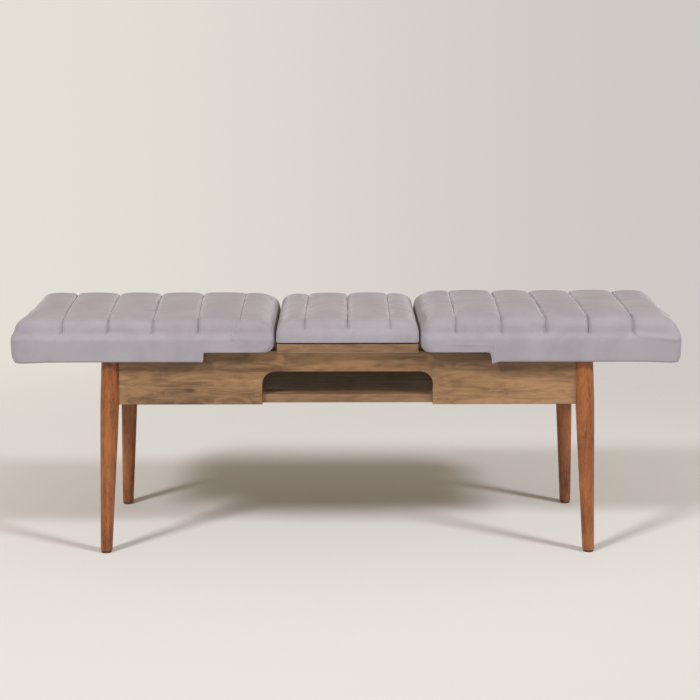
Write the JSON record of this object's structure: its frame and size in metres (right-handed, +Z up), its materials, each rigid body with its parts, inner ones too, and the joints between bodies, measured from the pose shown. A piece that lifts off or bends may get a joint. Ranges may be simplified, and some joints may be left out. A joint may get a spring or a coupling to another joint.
{
  "type": "upholstered extending bench",
  "caption": "Extending upholstered dining bench: channelled sliding seats, a lift-out centre pad on a walnut board, a slotted apron with a storage bay, and turned splayed legs.",
  "frame": {"origin": "on the floor, under the middle of the pulled-open bench", "axes": "+X along the bench towards its right end as seen from the front, +Y from the slotted front apron to the rear, +Z up"},
  "size_m": [1.4, 0.38, 0.511],
  "materials": {
    "seat_fabric": "short smooth velvet-like upholstery cloth, pale lilac grey",
    "walnut_panel": "satin walnut veneer with horizontal figure and small knots",
    "stained_beech": "satin reddish-brown stain on turned solid wood",
    "plywood": "bare plywood and softwood, hidden parts",
    "zinc_steel": "bright zinc plate on pressed steel",
    "black_panel": "matt black covered base panel",
    "glide_plastic": "matt brown moulded nylon"
  },
  "bodies": {
    "frame": {"leg_front_left": "stained_beech", "glide_front_left": "glide_plastic", "corner_block_front_left": "plywood", "corner_bolt_front_left": "zinc_steel", "slide_channel_front_left": "zinc_steel", "leg_rear_left": "stained_beech", "glide_rear_left": "glide_plastic", "corner_block_rear_left": "plywood", "corner_bolt_rear_left": "zinc_steel", "slide_channel_rear_left": "zinc_steel", "end_rail_left": "walnut_panel", "bay_fence_left": "walnut_panel", "leg_front_right": "stained_beech", "glide_front_right": "glide_plastic", "corner_block_front_right": "plywood", "corner_bolt_front_right": "zinc_steel", "slide_channel_front_right": "zinc_steel", "leg_rear_right": "stained_beech", "glide_rear_right": "glide_plastic", "corner_block_rear_right": "plywood", "corner_bolt_rear_right": "zinc_steel", "slide_channel_rear_right": "zinc_steel", "end_rail_right": "walnut_panel", "bay_fence_right": "walnut_panel", "front_apron": "walnut_panel", "rear_apron": "walnut_panel", "shelf_board": "walnut_panel"},
    "left_seat": {"left_seat_board": "plywood", "left_seat_cushion": "seat_fabric", "left_lip_end": "seat_fabric", "left_lip_front": "seat_fabric", "left_batten_front": "plywood", "left_slide_member_front": "zinc_steel", "left_batten_screw_front_inner": "zinc_steel", "left_batten_screw_front_outer": "zinc_steel", "left_lip_rear": "seat_fabric", "left_batten_rear": "plywood", "left_slide_member_rear": "zinc_steel", "left_batten_screw_rear_inner": "zinc_steel", "left_batten_screw_rear_outer": "zinc_steel"},
    "right_seat": {"right_seat_board": "plywood", "right_seat_cushion": "seat_fabric", "right_lip_end": "seat_fabric", "right_lip_front": "seat_fabric", "right_batten_front": "plywood", "right_slide_member_front": "zinc_steel", "right_batten_screw_front_inner": "zinc_steel", "right_batten_screw_front_outer": "zinc_steel", "right_lip_rear": "seat_fabric", "right_batten_rear": "plywood", "right_slide_member_rear": "zinc_steel", "right_batten_screw_rear_inner": "zinc_steel", "right_batten_screw_rear_outer": "zinc_steel"},
    "centre_unit": {"centre_board": "walnut_panel", "centre_pad_base": "black_panel", "centre_cushion": "seat_fabric", "cleat_front": "plywood", "cleat_rear": "plywood"}
  },
  "joints": [
    {"name": "centre_unit_lift", "type": "slide", "parent": "frame", "child": "centre_unit", "axis": [0, 0, 1], "range_m": [0, 0.75]},
    {"name": "left_seat_slide", "type": "slide", "parent": "frame", "child": "left_seat", "axis": [1, 0, 0], "range_m": [0, 0.15]},
    {"name": "right_seat_slide", "type": "slide", "parent": "frame", "child": "right_seat", "axis": [-1, 0, 0], "range_m": [0, 0.15]}
  ],
  "couplings": [
    {"joint": "left_seat_slide", "follows": "centre_unit_lift", "ratio": 0.2},
    {"joint": "right_seat_slide", "follows": "centre_unit_lift", "ratio": 0.2}
  ]
}
